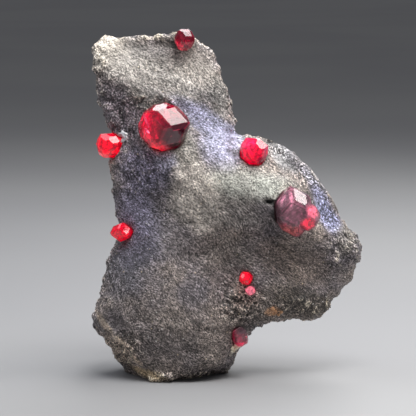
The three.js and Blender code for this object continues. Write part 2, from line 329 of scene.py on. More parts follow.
class RockFinish(Finish):
    """What the schist's own surface and the flakes on it have in common."""

    PATCH_EDGE = (1.15, 0.45)  # where a patch begins and is full, in half sizes from its middle
    PATCH_REACH = 22 * MM  # half its depth
    CRISP_BELOW = 2.0  # millimetres; narrower patches have crisper edges

    def stained(self, base: Any, place: bpy.types.NodeSocket) -> bpy.types.NodeSocket:
        """Lays the patches, its tones and its painted light and shade, over a colour.

        Args:
            base: The colour underneath.
            place: The coordinates.

        Returns:
            The patched colour.
        """
        wavy, crisp = self.wander(place, 9 * MM, 2.4 * MM), self.wander(place, 1.6 * MM, 0.7 * MM)
        for patch in PATCHES:
            local = self.node("ShaderNodeMapping", {"vector_type": "TEXTURE"}, {
                "Vector": crisp if patch.tall < self.CRISP_BELOW else wavy,
                "Location": spot(patch.across, patch.up, patch.depth),
                "Rotation": (0.0, -math.radians(patch.turn), 0.0),
                "Scale": (patch.wide * MM, self.PATCH_REACH, patch.tall * MM)})
            away = self.node("ShaderNodeVectorMath", {"operation": "LENGTH"}, {0: local.outputs[0]})
            share = self.span(Value(self, away.outputs["Value"]), *self.PATCH_EDGE, 0.0, patch.strength)
            base = self.blend(share, base, paint(*patch.colour))
        return base


class SchistFinish(RockFinish):
    """Fine-grained mica schist: salt and pepper grains in wandering streaks."""

    WARM_GREY = paint(118, 108, 102)
    COOL_GREY = paint(98, 92, 95)
    BROKEN_LIP = paint(208, 197, 176)
    GLINT = paint(226, 222, 218)
    SOOT = paint(26, 24, 24)

    def __init__(self) -> None:
        """Builds the material."""
        super().__init__("mica_schist")
        place = self.place()
        bent = self.wander(place, 16 * MM, 4.0 * MM)
        along, stretched = (self.mapped(bent, Vector((0, STREAK_TURN, 0)), Vector(scale))
                            for scale in ((0.3, 0.8, 1.0), (0.16, 0.6, 1.0)))
        crest, coarse, pitted, pale = (
            Value(self, self.node("ShaderNodeAttribute", {"attribute_name": name}).outputs["Fac"])
            for name in ("crest", "coarse", "pitted", "pale"))

        broad = self.span(self.grain(place, 14 * MM, 3.0), 0.38, 0.62)
        # the patches paint light and shade over the grey, as well as its tones
        tone = self.stained(self.blend(broad, self.WARM_GREY, self.COOL_GREY), place)
        # painted highlight: crests on pale broken lips turn cream, over their own paler stone
        lip = self.span(crest, 0.62, 0.95) * self.span(self.grain(place, 2.2 * MM, 2.0), 0.4, 0.6)
        tone = self.blend(lip * pale, tone, self.BROKEN_LIP)

        fibre = self.grain(along, 0.22 * MM, 1.0, 0.6)
        strand = self.grain(stretched, 0.42 * MM, 2.0, 0.7)
        speck, _ = self.cells(place, 0.32 * MM)
        flow = self.grain(along, 2.4 * MM, 2.0, 0.6)
        mica = self.grain(bent, 0.6 * MM, 2.0, 0.7)
        shade = self.span(fibre, 0.27, 0.73, 0.28, 1.9) * self.span(speck, 0.0, 1.0, 0.75, 1.28)
        # the crest layer is painted shade: points lower than their surroundings darken
        for layer in (self.span(strand, 0.3, 0.7, 0.7, 1.3), self.span(flow, 0.3, 0.7, 0.8, 1.2),
                      self.span(crest, 0.0, 0.5, 0.55, 1.0)):
            shade = shade * layer
        broken = self.span(mica, 0.37, 0.63, 0.2, 1.95)
        shade = shade * (1.0 + coarse * (broken - 1.0))
        pallor = Value(self, self.node("ShaderNodeRGBToBW", {}, {"Color": tone}).outputs[0])
        shade = shade ** self.span(pallor, 0.12, 0.42, 1.45, 0.8) * self.span(pallor, 0.12, 0.42, 0.92, 1.0)
        # painted shade: black dots for the dark insides of the pits
        _, off = self.cells(self.wander(place, 1.6 * MM, 0.5 * MM), 1.25 * MM)
        shade = shade * (1.0 - self.span(off, 0.44, 0.34) * pitted)
        glint = self.span(speck, 0.9955, 0.998)
        soot = self.span(speck, 0.07, 0.05)
        colour = self.blend(glint * 0.6, self.brighten(tone, shade), self.GLINT)
        colour = self.blend(soot * 0.7, colour, self.SOOT)

        height = fibre * 0.5 + strand * 0.25 + speck * 0.25
        self.surface(Base_Color=colour, Roughness=self.span(speck, 0.0, 1.0, 0.72, 0.36),
                     Specular_IOR_Level=0.45, Normal=self.bump(height, 0.34 * MM))


class MicaFinish(RockFinish):
    """Silvery mica flakes, some dark and some golden."""

    def __init__(self) -> None:
        """Builds the material."""
        super().__init__("mica_flakes")
        place = self.place()
        tone, _ = self.cells(place, 1.1 * MM)
        # the patches' painted light and shade fall on the flakes too
        base = self.stained(paint(138, 130, 124), place)
        colour = self.brighten(base, self.span(tone, 0.0, 1.0, 0.4, 1.35))
        golden = self.span(tone, 0.86, 0.9)
        self.surface(Base_Color=self.blend(golden * 0.4, colour, paint(226, 200, 150)), Metallic=0.2,
                     Roughness=self.span(tone, 0.0, 1.0, 0.5, 0.3))


# ------------------------------------------------------------------ clear and pale minerals


@dataclass(frozen=True)
class GarnetLook:
    """How one kind of garnet takes the light."""

    name: str
    body: Colour  # what the crystal lets through
    density: float  # absorption per metre
    tint: Colour
    clear: float  # share of the light that goes through
    rough: float = 0.03

    def material(self) -> bpy.types.Material:
        """Builds the crystal's material.

        Returns:
            The material.
        """
        finish = Finish(self.name)
        place = finish.place()
        growth = finish.grain(finish.mapped(place, Vector((0.4, 0.7, 0.2)), Vector((0.4, 1, 1.6))),
                              1.2 * MM, 1.0)
        smudge = finish.span(finish.grain(place, 2.2 * MM, 3.0, 0.6), 0.4, 0.68, self.rough,
                             self.rough + 0.16)
        finish.surface(Base_Color=finish.blend(finish.span(growth, 0.35, 0.65, 0.0, 0.5), self.tint,
                                               tuple(c * 0.7 for c in self.tint)),
                       Roughness=smudge, IOR=1.79, Transmission_Weight=self.clear,
                       Normal=finish.bump(growth, 0.025 * MM, 0.7))
        volume = finish.node("ShaderNodeVolumeAbsorption", {}, {
            "Color": (*self.body, 1.0), "Density": self.density})
        finish.tree.links.new(volume.outputs[0], finish.output.inputs["Volume"])
        return finish.material


class Clarity(Enum):
    """The kinds of garnet on the stone."""

    BRIGHT = GarnetLook("garnet_bright", (0.97, 0.02, 0.62), 240.0, paint(255, 30, 110), 0.93)
    DEEP = GarnetLook("garnet_deep", (0.86, 0.02, 0.56), 460.0, paint(225, 40, 115), 0.96)
    SMOKY = GarnetLook("garnet_smoky", (0.9, 0.35, 0.5), 240.0, paint(250, 200, 215), 0.95)


class Zone(Enum):
    """The colours that the light takes in a garnet: colour and fullness."""

    FIRE = ((1.0, 0.0, 0.13), 0.95)
    WINE = ((0.26, 0.0, 0.035), 0.85)
    CORAL = ((0.88, 0.0, 0.06), 0.95)
    ROSE = ((1.0, 0.32, 0.42), 1.0)
    EMBER = ((0.26, 0.09, 0.08), 0.85)
    MAUVE = ((0.4, 0.25, 0.31), 0.85)
    DUSK = ((0.13, 0.05, 0.08), 0.98)
    NIGHT = ((0.012, 0.0, 0.003), 1.0)


class CoreFinish(Finish):
    """The cloudy heart of a garnet, which throws the light back and glows with painted light."""

    # painted glow: the core emits its own colour
    GLOW = 0.65

    def __init__(self) -> None:
        """Builds the material, which reads its colour and fullness off the mesh."""
        super().__init__("garnet_core")
        place = self.place()
        zone = self.node("ShaderNodeAttribute", {"attribute_name": "zone"})
        cloud = self.span(self.grain(place, 1.3 * MM, 3.0, 0.6), 0.3, 0.7, 0.55, 1.35)
        sheet = self.mapped(place, Vector((0.5, 0.6, 0.3)), Vector((0.3, 1.0, 1.0)))
        spark = self.span(self.grain(sheet, 0.4 * MM, 2.0, 0.7), 0.35, 0.65, 0.68, 1.3)
        colour = self.brighten(zone.outputs["Color"], cloud * spark)
        gaps = self.span(self.grain(place, 1.8 * MM, 3.0, 0.6), 0.38, 0.5, 0.15, 1.0)
        thin = (1.0 - gaps) * (1.05 - Value(self, zone.outputs["Alpha"])) * 4.0
        self.surface(Base_Color=colour, Roughness=0.5, Emission_Color=colour, Emission_Strength=self.GLOW,
                     Alpha=self.span(thin, 0.0, 1.0, 1.0, 0.0))


class RidgeFinish(Finish):
    """The bright line that the light draws along a crystal's edge."""

    def __init__(self) -> None:
        """Builds the material."""
        super().__init__("garnet_ridge")
        gaps = self.span(self.grain(self.place(), 1.3 * MM, 2.0), 0.46, 0.62, 0.0, 0.8)
        # painted highlight: the line emits a little light
        self.surface(Base_Color=paint(240, 120, 150), Roughness=0.3, Emission_Color=(1.0, 0.12, 0.25),
                     Emission_Strength=0.3, Alpha=gaps)


class VeilFinish(Finish):
    """A thin healed crack, which glints."""

    def __init__(self) -> None:
        """Builds the material."""
        super().__init__("garnet_veil")
        gaps = self.span(self.grain(self.place(), 0.9 * MM, 3.0, 0.6), 0.4, 0.6, 0.1, 0.8)
        # painted glow: the crack emits a little light
        self.surface(Base_Color=paint(255, 110, 150), Roughness=0.4, Emission_Color=(1.0, 0.06, 0.2),
                     Emission_Strength=0.3, Alpha=gaps)


@functools.cache
def shared(kind: "Clarity | type[Finish]") -> bpy.types.Material:
    """Gives the one material of a kind of garnet, or of a finish."""
    return kind.value.material() if isinstance(kind, Clarity) else kind().material


@dataclass(frozen=True)
class PaleMineralFinish:
    """Quartz or feldspar: milky, a little clear, glossy on its breaks."""

    name: str
    colour: Colour
    shade: Colour
    clear: float
    rough: float

    def material(self) -> bpy.types.Material:
        """Builds the mineral's material.

        Returns:
            The material.
        """
        finish = Finish(self.name)
        place = finish.place()
        cloud = finish.grain(place, 0.9 * MM, 3.0, 0.6)
        colour = finish.blend(finish.span(cloud, 0.35, 0.65), self.colour, self.shade)
        finish.surface(Base_Color=colour, IOR=1.54, Transmission_Weight=self.clear,
                       Roughness=finish.span(cloud, 0.3, 0.7, self.rough, self.rough + 0.2),
                       Normal=finish.bump(finish.grain(place, 0.5 * MM, 2.0), 0.08 * MM, 0.6))
        return finish.material


class FloorFinish(Finish):
    """A plain pale studio floor, very slightly clouded."""

    def __init__(self) -> None:
        """Builds the material."""
        super().__init__("studio_floor")
        cloud = self.grain(self.place(), 0.35, 2.0)
        colour = self.blend(self.span(cloud, 0.4, 0.6), paint(138, 138, 140), paint(143, 143, 144))
        self.surface(Base_Color=colour, Roughness=0.55, Specular_IOR_Level=0.3)


# ------------------------------------------------------------------ pieces


def linked(name: str, data: Any) -> bpy.types.Object:
    """Puts some data in the scene.

    Args:
        name: The object's name.
        data: What it shows.

    Returns:
        The object.
    """
    made = bpy.data.objects.new(name, data)
    bpy.context.scene.collection.objects.link(made)
    return made


def welded(node: str) -> bmesh.types.BMesh:
    """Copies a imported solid, with its corners joined.

    Args:
        node: The node's name.

    Returns:
        The copy, for the caller to free.
    """
    solid = bmesh.new()
    solid.from_mesh(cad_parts[node].data)
    bmesh.ops.remove_doubles(solid, verts=solid.verts, dist=WELD)
    return solid


def mesh_of(name: str, shape: bmesh.types.BMesh) -> bpy.types.Mesh:
    """Turns an edited shape into a mesh and frees it.

    Args:
        name: The mesh's name.
        shape: The shape.

    Returns:
        The mesh.
    """
    mesh = bpy.data.meshes.new(name)
    shape.to_mesh(mesh)
    shape.free()
    return mesh


def read_all(items: Any, name: str, kind: type, width: int) -> np.ndarray:
    """Reads one property of every point, edge or face.

    Args:
        items: The points, edges or faces.
        name: The property's name.
        kind: The type of its numbers.
        width: How many numbers each item has.

    Returns:
        One row for each item.
    """
    flat = np.zeros(len(items) * width, kind)
    items.foreach_get(name, flat)
    return flat.reshape(-1, width)


def new_piece(name: str, mesh: bpy.types.Mesh, material: bpy.types.Material) -> bpy.types.Object:
    """Puts a finished mesh in the scene as a piece of the object.

    Args:
        name: The piece's name.
        mesh: Its mesh, in place.
        material: Its material.

    Returns:
        The piece, which rides on the stone.
    """
    mesh.materials.clear()
    mesh.materials.append(material)
    piece = linked(name, mesh)
    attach(piece, BODY)
    return piece


def stamped(name: str, places: list[Matrix], stamp: Callable[[bmesh.types.BMesh, Matrix], None],
            batch: int = 100) -> bpy.types.Mesh:
    """Makes one mesh of many small copies.

    Args:
        name: The mesh's name.
        places: Where each copy goes.
        stamp: Adds one copy to a mesh, at a place.
        batch: How many are made at a time.

    Returns:
        The joined mesh.
    """
    whole = bmesh.new()
    scrap = bpy.data.meshes.new(name + "_scrap")
    for start in range(0, len(places), batch):
        part = bmesh.new()
        for place in places[start:start + batch]:
            stamp(part, place)
        part.to_mesh(scrap)
        part.free()
        whole.from_mesh(scrap, face_normals=False, vertex_normals=False)
        scrap.clear_geometry()
    whole.normal_update()
    bpy.data.meshes.remove(scrap)
    return mesh_of(name, whole)


def tree_of(names: list[str]) -> BVHTree:
    """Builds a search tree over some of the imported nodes.

    Args:
        names: The nodes' names.

    Returns:
        The tree.
    """
    joined = bmesh.new()
    for name in names:
        joined.from_mesh(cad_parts[name].data)
    tree = BVHTree.FromBMesh(joined)
    joined.free()
    return tree


@dataclass(frozen=True)
class Crease:
    """A groove or a ridge on the front, between two spots of the box, in millimetres."""

    start: tuple[float, float]
    end: tuple[float, float]
    wide: float
    deep: float  # negative for a ridge

    FALL = 1.6  # how fast it fades across
    TAPER = 0.6  # how much it fades towards its ends

    def depth(self, place: Vector) -> float:
        """Gives how deep it is at a point.

        Args:
            place: The point, in millimetres.

        Returns:
            Depth in millimetres.
        """
        first, last = spot(*self.start) / MM, spot(*self.end) / MM
        along = Vector((last.x - first.x, last.z - first.z))
        offset = Vector((place.x - first.x, place.z - first.z))
        share = max(0.0, min(1.0, offset.dot(along) / along.length_squared))
        away = (offset - along * share).length / self.wide
        taper = 1.0 - abs(2 * share - 1) ** 3 * self.TAPER
        return self.deep * taper * math.exp(-away * away * self.FALL)


CREASES = (
    Crease((0.635, 0.69), (0.70, 0.645), 1.1, 1.4),  # behind the upper right crystal
    Crease((0.70, 0.645), (0.80, 0.575), 2.0, 0.8),
    Crease((0.65, 0.705), (0.77, 0.638), 0.6, -0.4),  # the sharp rim above it
    Crease((0.77, 0.638), (0.89, 0.50), 0.6, -0.4),
    Crease((0.635, 0.522), (0.685, 0.517), 0.75, 1.5),  # gap left of the grown pair
    Crease((0.685, 0.517), (0.668, 0.465), 0.8, 1.2),
    Crease((0.652, 0.46), (0.675, 0.425), 0.5, 0.5),  # arcs below it
    Crease((0.675, 0.425), (0.72, 0.40), 0.5, 0.5),
    Crease((0.64, 0.44), (0.665, 0.40), 0.5, 0.4),
    Crease((0.665, 0.40), (0.72, 0.375), 0.5, 0.4),
    Crease((0.30, 0.955), (0.38, 0.935), 2.2, 0.8),  # hollow beside the top crystal
    Crease((0.14, 0.945), (0.30, 0.955), 2.0, 0.3),
    Crease((0.05, 0.175), (0.12, 0.115), 0.8, -0.5),  # lip of the lower left break
    Crease((0.14, 0.085), (0.20, 0.04), 0.7, -0.35),
    Crease((0.545, 0.655), (0.60, 0.645), 0.7, 0.6),  # shadowed seat of the upper right crystal
)


@dataclass(frozen=True)
class Break:
    """A coarsely broken area of the front."""

    across: float
    up: float
    wide: float  # half its width, in millimetres
    tall: float  # half its height, in millimetres
    amount: float
    pale: float = 0.25  # how pale its broken lips are, with the painted highlight on their crests

    def share(self, place: Vector) -> float:
        """Gives how far a point is inside.

        Args:
            place: The point, in millimetres.

        Returns:
            0 outside, 1 well inside.
        """
        middle = spot(self.across, self.up) / MM
        away = math.hypot((place.x - middle.x) / self.wide, (place.z - middle.z) / self.tall)
        return max(0.0, min(1.0, 1.8 - 1.6 * away))


BREAKS = (
    Break(0.02, 0.88, 5.0, 14.0, 0.9, 0.4),  # left edge of the top
    Break(0.10, 0.75, 8.0, 12.0, 0.7, 0.1),  # dark wall
    Break(0.20, 0.985, 18.0, 2.5, 1.0, 0.6),  # top rim
    Break(0.22, 0.79, 9.0, 3.0, 0.8),  # above the large crystal
    Break(0.17, 0.60, 10.0, 10.0, 0.5),  # violet left side
    Break(0.32, 0.61, 7.0, 5.0, 0.45),  # below the large crystal
    Break(0.03, 0.32, 6.0, 14.0, 0.9),  # lower left edge
    Break(0.92, 0.37, 8.0, 7.0, 0.8, 0.35),  # tip of the lobe
    Break(0.80, 0.21, 15.0, 4.0, 0.8, 0.3),  # lower edge of the lobe
    Break(0.54, 0.22, 7.0, 7.0, 0.8),  # pits
    Break(0.10, 0.08, 10.0, 8.0, 0.9, 0.6),  # lower left break
    Break(0.33, 0.015, 18.0, 2.5, 1.0, 0.8),  # bottom edge
    Break(0.39, 0.55, 7.0, 9.0, 0.4),  # middle ridge
)
SMOOTH_RIM = (  # the worn rim of the right shoulder, with a painted highlight along its crest
    Break(0.70, 0.68, 8.0, 5.0, 1.0, 0.15),
    Break(0.82, 0.60, 8.0, 8.0, 1.0, 0.35),
    Break(0.90, 0.50, 6.0, 8.0, 0.8, 0.35),
)


@dataclass
class Slab:
    """The schist, with its real surface: lumps, leaves, pits and broken lips."""

    crystals: BVHTree
    voxel: float = 0.47  # all sizes here are in millimetres
    smoothing: int = 14
    guard: tuple[float, float] = (0.25, 1.8)  # from a crystal's face, where roughness starts and is full
    lump: tuple[float, float] = (7.5, 0.38)  # wavelength and height
    leaf: tuple[float, float] = (1.9, 0.10)
    grit: tuple[float, float] = (1.15, 0.04)
    rim_bite: tuple[float, float] = (2.6, 0.62)
    pit: tuple[float, float] = (1.7, 0.75)
    crest_rounds: int = 10
    crest_height: float = 0.16
    swirl: tuple[float, float] = (0.05, 6.0)  # bends a millimetre, and how far they reach
    leaf_shape: tuple[float, float] = (0.28, 0.7)  # how little the leaves change along X and Y
    far: float = 9.0  # beyond this a crystal doesn't matter
    still_below: float = 1.2  # the foot under this height isn't smoothed
    flat_below: float = 0.35  # what is lower than this stays on the floor
    front: float = 0.2  # normals with a smaller Y have the front's creases
    pit_wide: float = 0.38  # a pit's radius, in wavelengths
    pits_at: tuple[float, float] = (0.555, 0.215)  # the middle of the pitted part, in shares of the box
    pits_reach: float = 8.5
    streak: Quaternion = field(default_factory=lambda: Quaternion((0, 1, 0), STREAK_TURN))

    def build(self) -> bpy.types.Object:
        """Builds and dresses the slab.

        Returns:
            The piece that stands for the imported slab.
        """
        mesh = self._smoothed(self._remeshed())
        self._roughen(mesh)
        self._mark_crests(mesh)
        piece = new_piece("schist_stone", mesh, SchistFinish().material)
        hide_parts(MATRIX_NODE)
        return piece

    def _remeshed(self) -> bpy.types.Mesh:
        """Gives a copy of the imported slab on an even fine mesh.

        Returns:
            The new mesh.
        """
        coarse = mesh_of("slab_coarse", welded(MATRIX_NODE))
        carrier = linked("slab_carrier", coarse)
        remesh = carrier.modifiers.new("even", "REMESH")
        remesh.mode = "VOXEL"
        remesh.voxel_size = self.voxel * MM
        graph = bpy.context.evaluated_depsgraph_get()
        fine = bpy.data.meshes.new_from_object(carrier.evaluated_get(graph))
        bpy.data.objects.remove(carrier)
        bpy.data.meshes.remove(coarse)
        return fine

    def _distance(self, place: Vector) -> float:
        """Gives the distance to the nearest crystal, in millimetres, at most the far one."""
        found = self.crystals.find_nearest(place, self.far * MM)
        return self.far if found[0] is None else found[3] / MM

    def _smoothed(self, mesh: bpy.types.Mesh) -> bpy.types.Mesh:
        """Takes the flat faces of the coarse solid out, away from the crystals and the foot.

        Args:
            mesh: The even mesh.

        Returns:
            The same mesh.
        """
        soft = bmesh.new()
        soft.from_mesh(mesh)
        free = [v for v in soft.verts if v.co.z > self.still_below * MM
                and self._distance(v.co) > self.guard[0] + 0.35]
        for _ in range(self.smoothing):
            bmesh.ops.smooth_vert(soft, verts=free, factor=0.5, use_axis_x=True, use_axis_y=True,
                                  use_axis_z=True)
        soft.normal_update()
        soft.to_mesh(mesh)
        soft.free()
        return mesh

    def _lift(self, place: Vector, coarse: float) -> float:
        """Gives how far the rough surface stands out at a point.

        Args:
            place: The point, in millimetres.
            coarse: How coarsely broken the stone is there, below 0 where it is worn smooth.

        Returns:
            Height in millimetres, negative for a hollow.
        """
        swirl = place + noise.noise_vector(place * self.swirl[0]) * self.swirl[1]
        lump = noise.fractal(swirl / self.lump[0], 1.0, 2.1, 3) * self.lump[1]
        run = self.streak @ swirl
        flat_run, flat_depth = self.leaf_shape
        stretched = Vector((run.x * flat_run, run.y * flat_depth, run.z)) / self.leaf[0]
        leaf = (noise.ridged_multi_fractal(stretched, 0.9, 2.1, 3, 0.9, 1.8) - 1.1) * self.leaf[1]
        grit = noise.noise(place / self.grit[0]) * self.grit[1]
        jag = noise.hetero_terrain(swirl / self.rim_bite[0], 0.7, 2.2, 4, 0.6) - 0.6
        if coarse < 0.0:
            return (lump + leaf) * (1 + 0.8 * coarse) + grit * (1 + 0.5 * coarse)
        return lump + leaf * (1 - 0.4 * coarse) + grit * (1 + 4.0 * coarse) + jag * self.rim_bite[1] * coarse

    @staticmethod
    def _coarseness(place: Vector, normal: Vector) -> tuple[float, float]:
        """Gives how coarsely broken the stone is at a point.

        Args:
            place: The point, in millimetres.
            normal: The smooth surface's normal.

        Returns:
            The coarseness, 0 on the fine-grained front, 1 on the broken edges and down to -1 on
            worn rims, and how pale the broken lips are, which sets their painted highlight.
        """
        edge = 1.0 - min(1.0, abs(normal.y) * 1.25)
        worn = max(area.share(place) * area.amount for area in SMOOTH_RIM)
        coarse = max(edge * (1.0 - worn), max(area.share(place) * area.amount for area in BREAKS))
        pale = max(area.share(place) * area.pale for area in BREAKS + SMOOTH_RIM)
        return coarse if coarse > worn else -worn, max(0.25 * edge, pale)

    def _pitted(self, place: Vector, share: float) -> float:
        """Gives the depth of the small pits at a point.

        Args:
            place: The point, in millimetres.
            share: How pitted this part is, 0 to 1.

        Returns:
            Depth in millimetres.
        """
        if share <= 0.0:
            return 0.0
        distance = noise.voronoi(place / self.pit[0])[0][0]
        return max(0.0, 1.0 - distance / self.pit_wide) * self.pit[1] * share

    def _roughen(self, mesh: bpy.types.Mesh) -> None:
        """Gives the slab its rough surface.

        Args:
            mesh: The smooth mesh, which is changed.
        """
        count = len(mesh.vertices)
        normals = read_all(mesh.vertex_normals, "vector", np.float32, 3)
        holes = spot(*self.pits_at)
        moved = np.zeros((count, 3), np.float32)
        coarse, pale, holed = (np.zeros(count, np.float32) for _ in range(3))
        for index, vertex in enumerate(mesh.vertices):
            normal = Vector(normals[index])
            place = vertex.co / MM
            share = max(0.0, min(1.0, (self._distance(vertex.co) - self.guard[0])
                                 / (self.guard[1] - self.guard[0])))
            flat = Vector((vertex.co.x - holes.x, 0, vertex.co.z - holes.z)).length / MM
            pitted = max(0.0, 1.0 - flat / self.pits_reach) if normal.y < 0 else 0.0
            coarse[index], pale[index] = self._coarseness(place, normal)
            holed[index] = pitted ** 0.5
            lift = self._lift(place, coarse[index]) - self._pitted(place, holed[index])
            if normal.y < self.front:
                lift -= sum(crease.depth(place) for crease in CREASES)
            new = vertex.co + normal * (lift * share * MM)
            new.z = max(new.z, 0.0) if vertex.co.z > self.flat_below * MM else 0.0
            moved[index] = new
        mesh.vertices.foreach_set("co", moved.ravel())
        for name, values in (("coarse", coarse), ("pale", pale), ("pitted", holed)):
            mesh.attributes.new(name, "FLOAT", "POINT").data.foreach_set("value", values)
        mesh.update()

    def _mark_crests(self, mesh: bpy.types.Mesh) -> None:
        """Stores how far each point stands out of its surroundings, 0.5 where it is level.

        Args:
            mesh: The rough mesh.
        """
        count = len(mesh.vertices)
        points = read_all(mesh.vertices, "co", np.float32, 3).astype(float)
        normals = read_all(mesh.vertex_normals, "vector", np.float32, 3)
        ends = read_all(mesh.edges, "vertices", np.int32, 2)
        first, second = np.concatenate([ends[:, 0], ends[:, 1]]), np.concatenate([ends[:, 1], ends[:, 0]])
        degree = np.bincount(first, minlength=count)
        level = points.copy()
        for _ in range(self.crest_rounds):
            level = np.stack([np.bincount(first, weights=level[second, axis], minlength=count) / degree
                              for axis in range(3)], axis=1)
        proud = ((points - level) * normals).sum(axis=1) / (self.crest_height * MM)
        crest = 1 / (1 + np.exp(-proud * 1.2))
        layer = mesh.attributes.new("crest", "FLOAT", "POINT")
        layer.data.foreach_set("value", crest.astype(np.float32))


@dataclass
class MicaFlakes:
    """Thin six-sided flakes that lie on the stone and catch the light."""

    stone: bpy.types.Object
    crystals: BVHTree
    count: int = 1500
    seed: int = 7
    radius: tuple[float, float] = (0.10, 0.28)  # millimetres
    thickness: float = 0.07
    tilt: float = 0.38  # radians
    clear: tuple[float, float] = (1.0, 0.7)  # millimetres kept free above the floor and round crystals
    proud: float = 0.03

    def build(self) -> bpy.types.Object:
        """Scatters the flakes.

        Returns:
            The piece.
        """
        mesh = stamped("mica_flakes", list(itertools.islice(self._places(), self.count)), self._flake)
        return new_piece("mica_flakes", mesh, MicaFinish().material)

    def _places(self) -> Iterator[Matrix]:
        """Gives random places on the stone.

        Yields:
            A flake's place, with its size in it.
        """
        draw = random.Random(self.seed)
        faces = self.stone.data.polygons
        sums = list(itertools.accumulate(face.area for face in faces))
        while True:
            face = faces[bisect.bisect(sums, draw.random() * sums[-1]) % len(faces)]
            radius = draw.uniform(*self.radius) * (0.75 + 0.5 * draw.random()) * MM
            lean = Vector([draw.gauss(0, self.tilt) for _ in range(3)])
            spin = draw.uniform(0, math.tau)
            low, near = self.clear
            if face.center.z < low * MM or self.crystals.find_nearest(face.center, near * MM)[0]:
                continue
            facing = (face.normal + lean).normalized().to_track_quat("Z", "Y").to_matrix().to_4x4()
            size = Matrix.Diagonal((radius, radius * 0.8, self.thickness * MM, 1.0))
            yield (Matrix.Translation(face.center + face.normal * self.proud * MM) @ facing
                   @ Matrix.Rotation(spin, 4, "Z") @ size)

    @staticmethod
    def _flake(mesh: bmesh.types.BMesh, place: Matrix) -> None:
        """Adds one flake at its place and size."""
        bmesh.ops.create_cone(mesh, cap_ends=True, segments=6, radius1=1.0, radius2=0.86, depth=1.0,
                              matrix=place)


@dataclass
class Grains:
    """A cluster of small broken mineral grains."""

    name: str
    finish: PaleMineralFinish
    stone: BVHTree
    centre: Vector
    spread: Vector  # half sizes of the cluster, in millimetres
    count: int
    size: tuple[float, float]  # millimetres
    seed: int
    stretch: Vector = field(default_factory=lambda: Vector((1, 1, 1)))

    AHEAD = Vector((0, 40 * MM, 0))  # how far in front of the stone the search for it starts
    CUTS = 6
    CUT_AT = (0.5, 0.85)  # how near the middle a grain is cut, in radii

    def build(self) -> bpy.types.Object:
        """Builds the cluster.

        Returns:
            The piece.
        """
        draw = random.Random(self.seed)
        places = []
        for _ in range(self.count):
            offset = Vector([draw.gauss(0, 0.5) * s * MM for s in self.spread])
            target = self.centre + offset
            found, normal, _, _ = self.stone.ray_cast(target - self.AHEAD, Vector((0, 1, 0)))
            if found is None:
                found, normal, _, _ = self.stone.find_nearest(target)
            turn = Quaternion([draw.gauss(0, 1) for _ in range(4)])
            size = draw.uniform(*self.size) * 0.5 * MM
            scale = Matrix.Diagonal((*(self.stretch * size), 1.0))
            places.append(Matrix.Translation(found + normal * size * 0.2)
                          @ turn.normalized().to_matrix().to_4x4() @ scale)
        self._draw = draw
        mesh = stamped(self.name, places, self._grain)
        return new_piece(self.name, mesh, self.finish.material())

    def _grain(self, mesh: bmesh.types.BMesh, place: Matrix) -> None:
        """Adds one broken grain: a ball cut flat on several sides.

        Args:
            mesh: The mesh that it goes into.
            place: Its place and size.
        """
        chip = bmesh.new()
        bmesh.ops.create_icosphere(chip, subdivisions=2, radius=1.0)
        for _ in range(self.CUTS):
            facing = Vector([self._draw.gauss(0, 1) for _ in range(3)]).normalized()
            cut = bmesh.ops.bisect_plane(chip, geom=chip.verts[:] + chip.edges[:] + chip.faces[:],
                                         plane_co=facing * self._draw.uniform(*self.CUT_AT),
                                         plane_no=facing, clear_outer=True)
            rim = [e for e in cut["geom_cut"] if isinstance(e, bmesh.types.BMEdge)]
            if rim:
                bmesh.ops.contextual_create(chip, geom=rim)
        bmesh.ops.transform(chip, matrix=place, verts=chip.verts)
        bmesh.ops.recalc_face_normals(chip, faces=chip.faces)
        scrap = mesh_of("grain_scrap", chip)
        mesh.from_mesh(scrap)
        bpy.data.meshes.remove(scrap)


@dataclass(frozen=True)
class Cloud:
    """Where a colour gathers in a crystal, in half sizes of the crystal's box from its middle."""

    kind: Zone
    middle: tuple[float, float, float]
    reach: tuple[float, float, float]

    EDGE = (1.25, 0.7)  # where it begins, and how wide its soft edge is, in reaches

    def share(self, place: Vector) -> float:
        """Gives how strong the colour is at a point.

        Args:
            place: The point, in half sizes from the middle.

        Returns:
            0 outside, 1 well inside.
        """
        away = Vector([(p - m) / r for p, m, r in zip(place, self.middle, self.reach)]).length
        inside = max(0.0, min(1.0, (self.EDGE[0] - away) / self.EDGE[1]))
        return inside * inside * (3 - 2 * inside)


